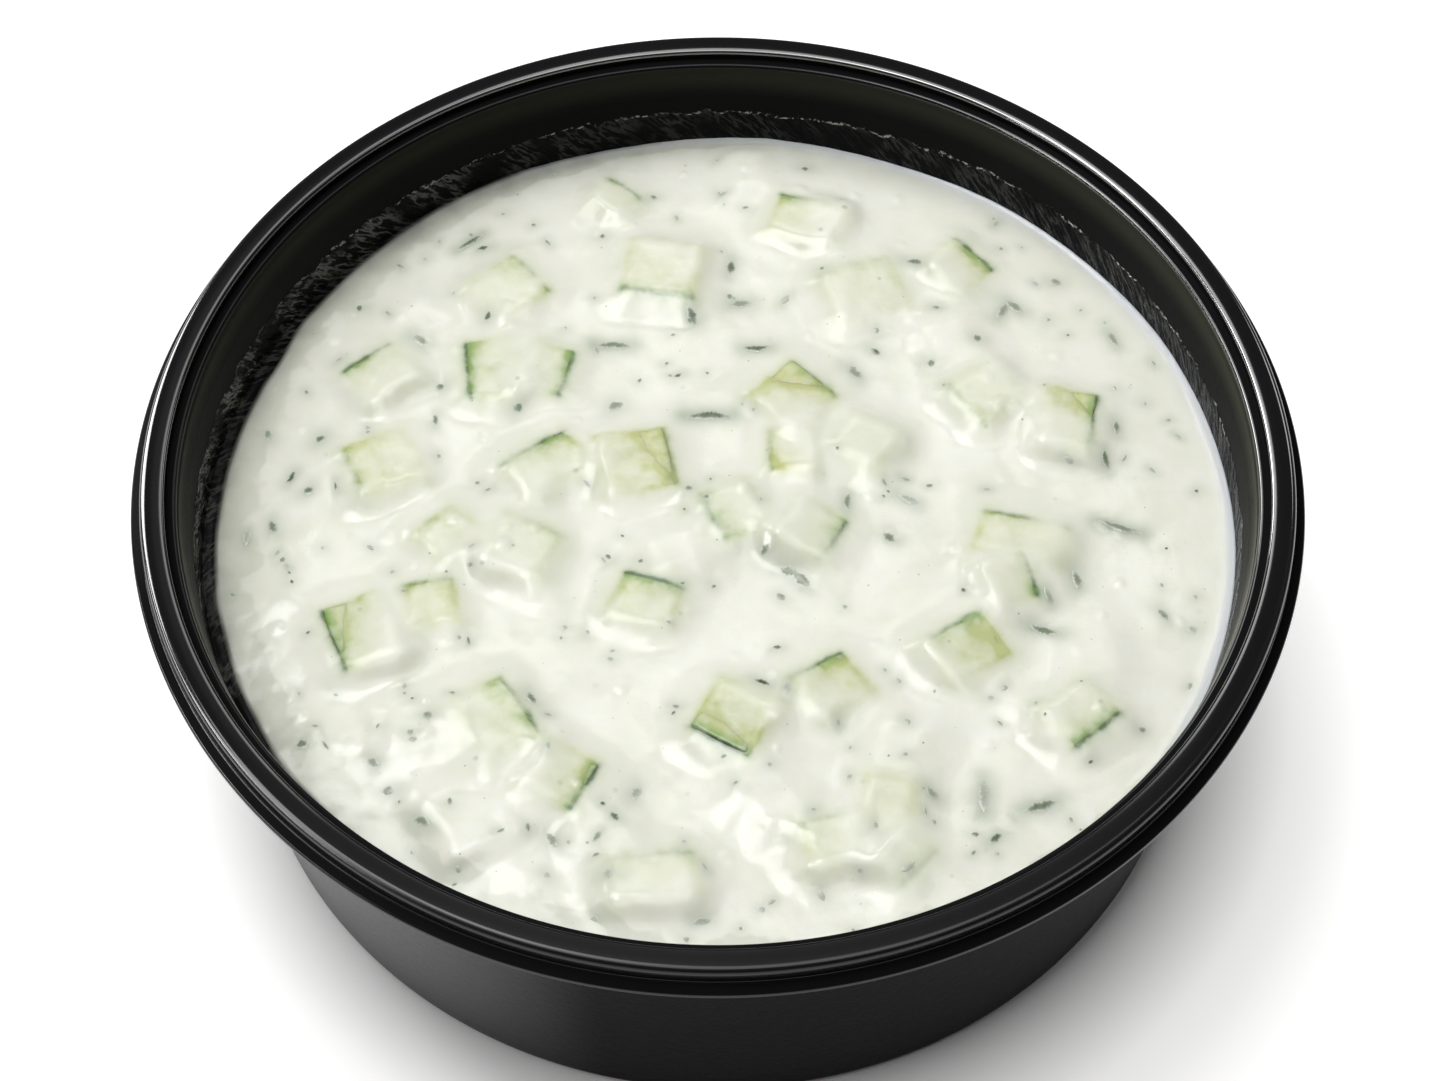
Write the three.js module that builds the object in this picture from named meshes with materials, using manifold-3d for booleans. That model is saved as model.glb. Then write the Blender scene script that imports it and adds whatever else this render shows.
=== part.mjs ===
// Tzatziki dip in a round black takeaway tub.
// Millimetres, +Z up. The origin is the centre of the tub's flat base.
import * as THREE from "three";
import { mergeVertices } from "three/addons/utils/BufferGeometryUtils.js";
import Module from "manifold-3d";

const wasm = await Module();
wasm.setup();

// Tub: one thin moulding with a folded rim that a lid snaps on
const tubHeight = 40;
const tubSegments = 72;
const baseRadius = 50.5;
const baseFillet = 2;
const cornerFillet = 1.2; // inside, between the floor and the wall
const floorThickness = 1.1;
const wallThickness = 1.1;
const flangeRadius = 58.5; // the lid's snap flange, the widest part
const flangeDrop = 3; // from the top of the rim down to the flange's underside
const flangeThickness = 0.8;
const bandRadius = 57.4; // outside of the rim's top band
const bandFoot = 1.85; // the band starts this far under the top, and slopes out to the flange below
const bandRounding = 0.45;
const bandThickness = 1.1;
const skirtThickness = 0.85;
const skirtBevel = 0.7;
const mouthRadius = 54.9; // inside of the rim's top band
const mouthRounding = 0.35;
const seatRadius = 54; // the small seat for the lid's plug, just under the mouth
const seatDepth = 1.2;
const seatLip = 0.3;
const shoulderRadius = 53.2; // where the curved shoulder runs out into the straight wall
const shoulderDepth = 5;
const shoulderBulge = 3.6;
const edgeBreak = 0.15; // the small bevels of the rim

// Dip: fills the tub to just under the shoulder and banks up against whatever is stirred into it
const dipLevel = 29.1;
const dipGap = 0.3;
const meshStep = 1.9; // spacing of the surface's vertices
const dipChamfer = 1.6; // round its foot, clear of the tub's inside corner
const swellCount = 70;
const swellSpan = 48;
const swellWidths = [2.2, 4.2];
const swellHeights = [0.15, 0.6];
const roll = { height: 0.2, lengthX: 5.3, lengthY: 6.1, startX: 0.8, startY: -0.4 };
const wallClimb = 0.5;
const wallClimbWidth = 1.1;
const bankBlend = 1.6; // how softly the dip runs up to a die
const bankRounding = 1.1;
const bankDrop = 0.3; // how far it stays below the top of a die

// Cucumber dice: cut by knife, one side of each still has its bowed skin
const dieHeight = 5;
const dieGap = 0.3;
const skinBow = 0.3;
const skinFacets = 3;
const knifeError = 0.5;
const wellHeadroom = 9;

// Centre x and y, turn of the skin side, width along the skin, depth, rise of the top's middle over
// the dip, tilt that lifts the skin side, tilt that lifts the side to its right
const dice = [
  [-23.8, 18.4, 187, 7.4, 5.2, 1.1, 8, 0],
  [-17.9, 18.4, -15, 5.4, 4.2, 1.0, 6, -4],
  [-35.5, 17.9, 129, 5.6, 5.4, 0.8, 6, 0],
  [-22.4, 29.4, 41, 6.2, 6.0, 1.0, 6, 0],
  [-11.4, 42.6, 50, 4.0, 3.6, 0.6, 8, 0],
  [-6.0, 31.9, 260, 7.4, 7.0, 1.2, 4, 0],
  [9.8, 39.0, 70, 7.4, 5.0, 0.9, 6, -3],
  [15.6, 29.3, 110, 7.4, 6.2, 0.9, 5, 0],
  [7.9, 14.9, 45, 6.4, 6.4, 1.3, 7, -7],
  [26.0, 32.4, 45, 5.0, 5.0, 0.9, 6, -6],
  [28.2, 15.3, 216, 5.4, 5.8, 1.0, 5, 0],
  [36.5, 11.6, -13, 7.2, 5.0, 1.4, 6, -7],
  [-34.6, 6.1, 204, 6.5, 6.2, 1.1, 6, 0],
  [-27.3, -2.9, 135, 5.0, 5.0, 1.0, 4, 0],
  [-28.6, -11.0, 100, 4.4, 4.8, 1.0, 6, 0],
  [-35.6, -14.7, 202, 7.6, 5.6, 1.3, 8, 0],
  [-17.6, 6.0, 128, 7.4, 5.0, 1.1, 8, 0],
  [-8.4, 6.3, 11, 7.0, 7.0, 1.5, 5, -4],
  [1.6, 0.1, 205, 5.4, 4.8, 1.0, 8, 0],
  [-7.2, -10.8, 71, 6.0, 5.0, 1.0, 8, -3],
  [7.6, 7.6, 180, 4.4, 4.2, 1.0, 6, 0],
  [-19.9, -4.6, 65, 6.0, 6.0, 1.0, 4, 0],
  [9.6, -2.2, -30, 5.2, 5.2, 1.0, 4, 0],
  [11.2, -20.8, 125, 5.8, 5.2, 1.0, 9, 0],
  [24.6, -16.6, 123, 6.6, 5.2, 1.3, 8, 4],
  [30.8, -3.2, 76, 8.4, 4.4, 1.0, 5, -4],
  [29.5, -8.5, 14, 4.4, 4.2, 1.0, 8, 0],
  [-21.6, -24.8, 32, 7.4, 5.4, 1.3, 5, 0],
  [-14.9, -31.3, -29, 5.4, 5.0, 1.2, 6, 0],
  [1.6, -24.8, 239, 6.4, 6.4, 1.7, 5, 0],
  [10.9, -38.5, 100, 4.8, 4.8, 0.9, 5, -5],
  [16.4, -34.2, 80, 4.2, 5.0, 0.9, 3, 0],
  [-6.1, -42.4, 96, 7.6, 4.4, 0.9, 6, 0],
  [35.4, -24.4, -50, 5.6, 5.0, 1.4, 5, 0],
  [17.8, -40.3, -45, 4.0, 3.4, 0.8, 5, 0],
  [15.2, 8.8, 60, 4.8, 4.8, 0.9, 4, 0],
];

// Lumps under an unbroken coat: centre x and y, turn, width, depth, rise
const coatedLumps = [
  [-4.4, -4.6, 20, 4.4, 4.4, 0.9],
  [-28.9, -25.4, 0, 4.4, 6.0, 1.0],
  [-23.7, -35.2, 30, 7.4, 7.0, 1.1],
  [-10.8, -37.4, 50, 3.6, 4.0, 0.8],
  [37.3, -17.6, 15, 4.2, 4.0, 0.7],
  [5.0, -33.4, 40, 5.0, 4.4, 0.9],
  [18.2, -27.0, 70, 4.6, 4.2, 0.8],
  [24.6, 22.8, 25, 5.0, 4.6, 0.8],
  [3.4, 46.6, 10, 4.6, 3.0, 0.5],
  [-31.4, 26.0, 50, 4.6, 3.8, 0.6],
];

// Dill: centre x and y, length, direction
const dill = [
  [1.4, 33, 2, -100],
  [2.4, 28, 2.4, 10],
  [-2.8, 25.8, 2.2, -70],
  [7.2, 28.6, 1.4, 55],
  [-11.1, 22.3, 4, 0],
  [4, 21.7, 3, 0],
  [14.4, 18.6, 2.2, -55],
  [21.2, 33, 2, -25],
  [30.5, 27, 2.4, 65],
  [36.4, 31.4, 1.2, -10],
  [42, 23.4, 2.2, -70],
  [-47, 11, 1.6, -70],
  [-44, 5, 1.8, 65],
  [-48, -2.4, 2, -85],
  [-45.4, -1.2, 1.8, -75],
  [-29.5, 12.2, 1.4, -85],
  [-0.9, 12.8, 5, 0],
  [-10.8, 14.3, 1.8, 30],
  [13.2, 1.7, 2.4, -95],
  [8.4, -7.8, 2.2, -45],
  [7.1, -6.8, 1.8, -20],
  [41, -1.4, 4.6, -20],
  [40, 6.8, 2.2, -80],
  [44.6, -12, 1.6, -55],
  [36.2, -7.8, 2.2, -80],
  [33.1, -10.2, 2, -65],
  [32.5, -14, 3, -20],
  [17.4, -2.8, 1.6, -50],
  [19.5, 2, 2.2, -25],
  [4.4, -20.6, 1.8, -30],
  [-40.5, -27, 1.4, 20],
  [-33.4, -29.4, 1.4, -35],
  [-15.8, -38, 1.8, -55],
  [20.6, -33, 1.6, -45],
  [25.6, -33, 3.8, -90],
  [31, -34.2, 3.6, 20],
  [-1.5, -46.6, 1.8, 15],
  [-27, 36.8, 3.6, 40],
  [-31.6, 22.6, 2, -35],
  [26.5, -37.7, 1.6, 40],
];
const dillWidth = 0.5;
const dillThickness = 0.4;
const dillClearance = 0.6;

const colours = { tub: 0x1b1b1d, dip: 0xeef0e8, flesh: 0xcfdaa2 };
const radians = THREE.MathUtils.degToRad;

// A repeatable spread of values from 0 to 1
function scatter(index, stream) {
  const value = Math.sin(index * 12.9898 + stream * 78.233) * 43758.5453;
  return value - Math.floor(value);
}

function tubGeometry() {
  const ceiling = tubHeight - bandThickness;
  const flangeFoot = tubHeight - flangeDrop;
  const flangeTop = flangeFoot + flangeThickness;
  const seatTop = tubHeight - seatDepth;
  const shoulderFoot = tubHeight - shoulderDepth;
  const skirtRadius = bandRadius - skirtThickness;
  const floorRadius = innerRadiusAt(floorThickness);
  const cornerTop = floorThickness + cornerFillet;
  const path = new THREE.Path();
  // the base, the outside of the wall and the hollow under the rim
  path.moveTo(0, 0);
  path.lineTo(baseRadius - baseFillet, 0);
  path.quadraticCurveTo(baseRadius - edgeBreak, 0, baseRadius, baseFillet);
  path.lineTo(shoulderRadius + wallThickness, shoulderFoot);
  path.lineTo(mouthRadius + edgeBreak, ceiling);
  path.lineTo(skirtRadius, ceiling);
  path.lineTo(skirtRadius, flangeFoot + skirtBevel);
  // the flange and the rounded top band
  path.lineTo(bandRadius, flangeFoot);
  path.lineTo(flangeRadius - edgeBreak, flangeFoot);
  path.lineTo(flangeRadius, flangeFoot + edgeBreak);
  path.lineTo(flangeRadius, flangeTop - edgeBreak);
  path.lineTo(flangeRadius - edgeBreak, flangeTop);
  path.lineTo(bandRadius, tubHeight - bandFoot);
  path.lineTo(bandRadius, tubHeight - bandRounding);
  path.quadraticCurveTo(bandRadius, tubHeight, bandRadius - bandRounding, tubHeight);
  path.lineTo(mouthRadius + mouthRounding, tubHeight);
  path.quadraticCurveTo(mouthRadius, tubHeight, mouthRadius, tubHeight - mouthRounding);
  // the seat, the shoulder, the inside of the wall and the floor
  path.lineTo(mouthRadius, seatTop + edgeBreak);
  path.lineTo(seatRadius, seatTop);
  path.lineTo(seatRadius - edgeBreak, seatTop - seatLip);
  path.quadraticCurveTo(seatRadius - seatLip, tubHeight - shoulderBulge, shoulderRadius, shoulderFoot);
  path.lineTo(innerRadiusAt(cornerTop), cornerTop);
  path.quadraticCurveTo(floorRadius, floorThickness, floorRadius - cornerFillet, floorThickness);
  path.lineTo(0, floorThickness);
  return new THREE.LatheGeometry(path.getPoints(2), tubSegments).rotateX(Math.PI / 2);
}

// Inside radius of the tub's straight wall at a height
function innerRadiusAt(z) {
  const wallTop = tubHeight - shoulderDepth;
  const footRadius = baseRadius - wallThickness;
  return footRadius + ((shoulderRadius - footRadius) * z) / wallTop;
}

// Local frame of a die: +Y out of its skin, +Z up, origin in the middle of its top
function placement([x, y, turn, , , rise, tilt = 0, lean = 0]) {
  return {
    position: new THREE.Vector3(x, y, dipLevel + rise),
    rotation: new THREE.Euler(radians(tilt), -radians(lean), radians(turn - 90), "ZXY"),
  };
}

function matrixOf(row) {
  const { position, rotation } = placement(row);
  return new THREE.Matrix4().makeRotationFromEuler(rotation).setPosition(position);
}

// Prism of a die's outline, grown by a margin, from its bottom up to a height over its top
function dieGeometry(row, index, margin, over) {
  const [, , , width, depth] = row;
  const half = width / 2 + margin;
  const back = -depth / 2 - margin;
  const front = depth / 2 + margin;
  const cut = (stream) => (scatter(index + 1, stream) - 0.5) * knifeError;
  const outline = new THREE.Shape();
  outline.moveTo(-half + cut(1), back);
  outline.lineTo(half + cut(2), back + cut(3));
  outline.lineTo(half, front - skinBow);
  outline.quadraticCurveTo(0, front + skinBow, -half, front - skinBow);
  const depthDown = dieHeight + margin;
  const options = { depth: depthDown + over, bevelEnabled: false, curveSegments: skinFacets };
  return new THREE.ExtrudeGeometry(outline, options).translate(0, 0, -depthDown);
}

// Signed distance from a point to the rounded block that the dip banks up against
function lumpDistance(lump, point) {
  const local = point.clone().applyMatrix4(lump.inverse).sub(lump.centre);
  const outside = new THREE.Vector3(
    Math.abs(local.x) - lump.half.x,
    Math.abs(local.y) - lump.half.y,
    Math.abs(local.z) - lump.half.z,
  );
  const inner = Math.min(Math.max(outside.x, outside.y, outside.z), 0);
  outside.clampScalar(0, Infinity);
  return outside.length() + inner - bankRounding;
}

function lumpOf(row, coat) {
  const [x, y, , width, depth] = row;
  const shrink = bankRounding - coat;
  const half = new THREE.Vector3(width / 2 - shrink, depth / 2 - shrink, dieHeight / 2 - shrink);
  const centre = new THREE.Vector3(0, 0, -dieHeight / 2);
  return { x, y, half, centre, inverse: matrixOf(row).invert() };
}

const lumps = [
  ...dice.map((row) => lumpOf(row, -bankDrop)),
  ...coatedLumps.map((row) => lumpOf(row, 0)),
];

// Broad low swells left by the spoon, spread evenly and the same every time
const swells = Array.from({ length: swellCount }, (_, i) => {
  const radius = swellSpan * Math.sqrt((i + 0.5) / swellCount);
  const angle = i * Math.PI * (3 - Math.sqrt(5));
  return {
    x: radius * Math.cos(angle),
    y: radius * Math.sin(angle),
    width: THREE.MathUtils.lerp(...swellWidths, scatter(i, 5)),
    height: THREE.MathUtils.lerp(...swellHeights, scatter(i, 6)),
  };
});

function calmHeight(x, y) {
  const toWall = innerRadiusAt(dipLevel) - dipGap - Math.hypot(x, y);
  const rollX = Math.sin(x / roll.lengthX + roll.startX);
  const rollY = Math.sin(y / roll.lengthY + roll.startY);
  let z = dipLevel + roll.height * rollX * rollY;
  for (const swell of swells) {
    const distance = Math.hypot(x - swell.x, y - swell.y) / swell.width;
    z += swell.height * Math.exp(-distance * distance);
  }
  return z + wallClimb * Math.exp(-toWall / wallClimbWidth);
}

function smoothMin(a, b, blend) {
  const overlap = Math.max(blend - Math.abs(a - b), 0) / blend;
  return Math.min(a, b) - (overlap * overlap * blend) / 4;
}

// Height of the dip: drops a point onto the swells and the coated lumps
function surfaceHeight(x, y) {
  const reach = 9;
  const steps = 30;
  const near = lumps.filter((lump) => Math.hypot(x - lump.x, y - lump.y) < reach);
  const calm = calmHeight(x, y);
  const point = new THREE.Vector3(x, y, calm + reach);
  for (let step = 0; step < steps; step++) {
    let drop = point.z - calm;
    for (const lump of near) {
      drop = smoothMin(drop, lumpDistance(lump, point), bankBlend);
    }
    point.z -= drop;
  }
  return point.z;
}

// Joins two closed rings of vertices, whatever their counts, with the faces out
function bridge(faces, inner, outer) {
  const innerEdges = inner.length > 1 ? inner.length : 0;
  const outerEdges = outer.length > 1 ? outer.length : 0;
  let i = 0;
  let j = 0;
  while (i < innerEdges || j < outerEdges) {
    const a = inner[i % inner.length];
    const b = outer[j % outer.length];
    if (i === innerEdges || (j < outerEdges && (j + 0.5) * inner.length <= (i + 0.5) * outer.length)) {
      faces.push(a, b, outer[(j + 1) % outer.length]);
      j += 1;
    } else {
      faces.push(a, b, inner[(i + 1) % inner.length]);
      i += 1;
    }
  }
}

function dipBody() {
  const positions = [];
  const faces = [];
  const ring = (radius, count, heightAt) =>
    Array.from({ length: count }, (_, k) => {
      const angle = (2 * Math.PI * k) / count;
      const x = radius * Math.cos(angle);
      const y = radius * Math.sin(angle);
      positions.push(x, y, heightAt(x, y));
      return positions.length / 3 - 1;
    });
  const edge = innerRadiusAt(dipLevel) - dipGap;
  const ringCount = Math.round(edge / meshStep);
  const foot = floorThickness + dipGap;
  const rings = [ring(0, 1, surfaceHeight)];
  for (let k = 1; k <= ringCount; k++) {
    rings.push(ring((edge * k) / ringCount, 6 * k, surfaceHeight));
  }
  const side = foot + dipChamfer;
  rings.push(ring(innerRadiusAt(side) - dipGap, tubSegments, () => side));
  rings.push(ring(innerRadiusAt(foot) - dipGap - dipChamfer, tubSegments, () => foot));
  rings.push(ring(0, 1, () => foot));
  for (let k = 1; k < rings.length; k++) {
    bridge(faces, rings[k - 1], rings[k]);
  }
  const geometry = new THREE.BufferGeometry();
  geometry.setAttribute("position", new THREE.Float32BufferAttribute(positions, 3));
  geometry.setIndex(faces);
  return geometry;
}

// A frond of dill: a flat pointed sliver, half sunk in the surface
function dillGeometry([x, y, length, direction]) {
  const sliver = new THREE.OctahedronGeometry(1);
  sliver.scale(length / 2, dillWidth / 2, dillThickness);
  sliver.rotateZ(radians(direction));
  return sliver.translate(x, y, surfaceHeight(x, y));
}

// Whether both ends and the middle of a frond keep off every die
function clearOfDice([x, y, length, direction]) {
  const reach = new THREE.Vector3(Math.cos(radians(direction)), Math.sin(radians(direction)), 0);
  return [-length / 2, 0, length / 2].every((along) => {
    const point = new THREE.Vector3(x, y, dipLevel + dillThickness).addScaledVector(reach, along);
    return lumps.slice(0, dice.length).every((lump) => lumpDistance(lump, point) > dillClearance + bankDrop);
  });
}

function solidOf(geometry) {
  const bare = geometry.clone();
  bare.deleteAttribute("normal");
  bare.deleteAttribute("uv");
  const merged = mergeVertices(bare, 1e-4);
  const vertProperties = merged.attributes.position.array;
  const triVerts = new Uint32Array(merged.index.array);
  return new wasm.Manifold(new wasm.Mesh({ numProp: 3, vertProperties, triVerts }));
}

function geometryOf(solid) {
  const mesh = solid.getMesh();
  const geometry = new THREE.BufferGeometry();
  geometry.setAttribute("position", new THREE.BufferAttribute(mesh.vertProperties, 3));
  geometry.setIndex(new THREE.BufferAttribute(mesh.triVerts, 1));
  geometry.computeVertexNormals();
  return geometry;
}

// The dip with its dill, cut round every die
function dipGeometry() {
  let solid = solidOf(dipBody());
  for (const frond of dill.filter(clearOfDice)) {
    solid = solid.add(solidOf(dillGeometry(frond)));
  }
  dice.forEach((row, index) => {
    const well = dieGeometry(row, index, dieGap, wellHeadroom).applyMatrix4(matrixOf(row));
    solid = solid.subtract(solidOf(well));
  });
  return geometryOf(solid);
}

function addMesh(group, name, geometry, material) {
  const mesh = new THREE.Mesh(geometry, material);
  mesh.name = name;
  group.add(mesh);
  return mesh;
}

const tubMaterial = new THREE.MeshStandardMaterial({ color: colours.tub, roughness: 0.3 });
const dipMaterial = new THREE.MeshStandardMaterial({ color: colours.dip, roughness: 0.35 });

const tzatziki = new THREE.Group();
addMesh(tzatziki, "tub", tubGeometry(), tubMaterial);
addMesh(tzatziki, "dip", dipGeometry(), dipMaterial);
dice.forEach((row, index) => {
  const name = `cucumber_${String(index + 1).padStart(2, "0")}`;
  const flesh = new THREE.MeshStandardMaterial({ color: colours.flesh, roughness: 0.4 });
  const mesh = addMesh(tzatziki, name, dieGeometry(row, index, 0, 0), flesh);
  const { position, rotation } = placement(row);
  mesh.position.copy(position);
  mesh.rotation.copy(rotation);
});

export default tzatziki;
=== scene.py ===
import math

import bmesh
import bpy
import numpy as np
from mathutils import Matrix, Vector, noise
from mathutils.bvhtree import BVHTree


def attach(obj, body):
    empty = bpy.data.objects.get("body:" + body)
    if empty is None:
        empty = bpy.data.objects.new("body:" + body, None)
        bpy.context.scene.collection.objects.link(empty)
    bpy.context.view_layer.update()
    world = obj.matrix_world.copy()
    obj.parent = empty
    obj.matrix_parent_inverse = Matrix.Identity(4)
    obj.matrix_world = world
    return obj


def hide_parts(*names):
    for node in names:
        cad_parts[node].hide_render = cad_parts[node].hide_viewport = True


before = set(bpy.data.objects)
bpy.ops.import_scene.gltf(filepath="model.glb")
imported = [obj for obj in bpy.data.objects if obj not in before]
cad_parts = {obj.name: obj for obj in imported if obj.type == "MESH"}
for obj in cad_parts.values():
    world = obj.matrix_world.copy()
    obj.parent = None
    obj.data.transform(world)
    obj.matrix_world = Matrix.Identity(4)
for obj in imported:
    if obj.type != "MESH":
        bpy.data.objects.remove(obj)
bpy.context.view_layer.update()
mm = 0.001  # the dictionaries below are in millimetres, meshes in metres


def scatter(index, stream):
    # repeatable spread of values from 0 to 1
    value = math.sin(index * 12.9898 + stream * 78.233) * 43758.5453
    return value - math.floor(value)


def between(low, high, share):
    return low + (high - low) * share


def onCircle(radius, angle):
    return radius * math.cos(angle), radius * math.sin(angle)


def flatPoints(x, y):
    return np.stack([x, y, np.zeros_like(x)], 1)


def meshPiece(name, points, faces, attributes=None):
    mesh = bpy.data.meshes.new(name)
    mesh.from_pydata([tuple(p) for p in np.asarray(points, float) * mm], [], faces)
    mesh.update()
    for label, values in (attributes or {}).items():
        layer = mesh.attributes.new(label, "FLOAT", "POINT")
        layer.data.foreach_set("value", np.asarray(values, np.float32))
    mesh.polygons.foreach_set("use_smooth", [True] * len(mesh.polygons))
    piece = bpy.data.objects.new(name, mesh)
    bpy.context.scene.collection.objects.link(piece)
    return piece


def finishPiece(piece, material, nodes=()):
    piece.data.materials.append(material)
    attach(piece, "root")
    if nodes:
        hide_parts(*nodes)
    return piece


seedSteps = (7.31, 3.77, 5.13)  # how far the noise moves along each axis from one seed to the next
noiseSpan, noiseCore = (0.3, 0.7), (0.35, 0.65)  # nearly all of a cloud's values, and most of them


def wavy(points, size, seed=0.0):
    # smooth noise from -1 to 1 at each point, with bumps about as large as size
    offset = Vector([seed * step for step in seedSteps])
    return np.array([noise.noise(Vector(p) / size + offset) for p in points])


def newMaterial(name, **settings):
    material = bpy.data.materials.new(name)
    material.use_nodes = True
    tree = material.node_tree
    shader = tree.nodes["Principled BSDF"]
    for socket, value in settings.items():
        shader.inputs[socket.replace("_", " ")].default_value = value
    return material, tree, shader


def connect(tree, shader, **sockets):
    for socket, value in sockets.items():
        tree.links.new(value, shader.inputs[socket.replace("_", " ")])


def put(tree, kind, inputs=None, **settings):
    node = tree.nodes.new(kind)
    for key, value in settings.items():
        setattr(node, key, value)
    for key, value in (inputs or {}).items():
        if isinstance(value, bpy.types.NodeSocket):
            tree.links.new(value, node.inputs[key])
        else:
            node.inputs[key].default_value = value
    return node


def place(tree):
    return put(tree, "ShaderNodeTexCoord").outputs["Object"]


def attribute(tree, name):
    return put(tree, "ShaderNodeAttribute", attribute_name=name).outputs["Fac"]


def cloud(tree, size, detail=3.0, rough=0.5, at=None):
    # noise with features of about size millimetres
    at = place(tree) if at is None else at
    settings = {"Vector": at, "Scale": 1 / (size * mm), "Detail": detail, "Roughness": rough}
    return put(tree, "ShaderNodeTexNoise", settings).outputs["Fac"]


def calc(tree, operation, *values, clamp=False):
    node = put(tree, "ShaderNodeMath", operation=operation, use_clamp=clamp)
    for socket, value in zip(node.inputs, values):
        if isinstance(value, bpy.types.NodeSocket):
            tree.links.new(value, socket)
        else:
            socket.default_value = value
    return node.outputs[0]


def times(tree, *values):
    total = values[0]
    for value in values[1:]:
        total = calc(tree, "MULTIPLY", total, value)
    return total


def less(tree, value, share=1.0):
    # what is left of 1 after taking a share of the value away
    return calc(tree, "SUBTRACT", 1.0, times(tree, value, share))


def ramp(tree, share, low, high):
    # from low where the share is 0 to high where it is 1
    return calc(tree, "ADD", times(tree, share, high - low), low)


def jitter(tree, reach, size, detail=3.0, rough=0.5):
    # noise about zero
    return times(tree, calc(tree, "SUBTRACT", cloud(tree, size, detail, rough), 0.5), reach)


def rangeOf(tree, value, low, high, toLow=0.0, toHigh=1.0, smooth=True):
    kind = "SMOOTHSTEP" if smooth else "LINEAR"
    inputs = {"Value": value, "From Min": low, "From Max": high, "To Min": toLow, "To Max": toHigh}
    return put(tree, "ShaderNodeMapRange", inputs, interpolation_type=kind).outputs["Result"]


def blend(tree, share, a, b):
    node = put(tree, "ShaderNodeMix", data_type="RGBA")
    for key, value in (("Factor", share), ("A", a), ("B", b)):
        socket = next(s for s in node.inputs if s.name == key and s.enabled)
        if isinstance(value, bpy.types.NodeSocket):
            tree.links.new(value, socket)
        else:
            socket.default_value = value if key == "Factor" else (*value, 1)
    return next(s for s in node.outputs if s.enabled)


def polar(tree):
    # the place as axes, with its distance from the tub's middle line
    axes = put(tree, "ShaderNodeSeparateXYZ", {"Vector": place(tree)}).outputs
    squares = calc(tree, "ADD", times(tree, axes["X"], axes["X"]), times(tree, axes["Y"], axes["Y"]))
    return axes, calc(tree, "SQRT", squares)


streak = dict(
    radius=53,  # turns an angle round the wall into a length
    slant=0.8, stretch=0.4, size=1.2, width=0.085, gapSize=4.5, gaps=(0.36, 0.6),
)


def smears(tree):
    # feathery streaks of thin dip, which slant up the wall
    axes, radius = polar(tree)
    around = times(tree, calc(tree, "ARCTAN2", axes["X"], axes["Y"]), streak["radius"] * mm)
    climb = calc(tree, "ADD", axes["Z"], radius)
    slant = calc(tree, "ADD", around, times(tree, climb, streak["slant"]))
    inputs = {"X": slant, "Y": times(tree, climb, streak["stretch"])}
    along = put(tree, "ShaderNodeCombineXYZ", inputs).outputs["Vector"]
    streaks = cloud(tree, streak["size"], 3, 0.55, along)
    crest = calc(tree, "ABSOLUTE", calc(tree, "SUBTRACT", streaks, 0.5))
    broken = rangeOf(tree, cloud(tree, streak["gapSize"], 2), *streak["gaps"])
    return streaks, times(tree, rangeOf(tree, crest, streak["width"], 0.0), broken)


def bump(tree, height, depth, strength=1.0, onto=None):
    inputs = {"Height": height, "Strength": strength, "Distance": depth * mm}
    if onto is not None:
        inputs["Normal"] = onto
    return put(tree, "ShaderNodeBump", inputs).outputs["Normal"]


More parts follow.
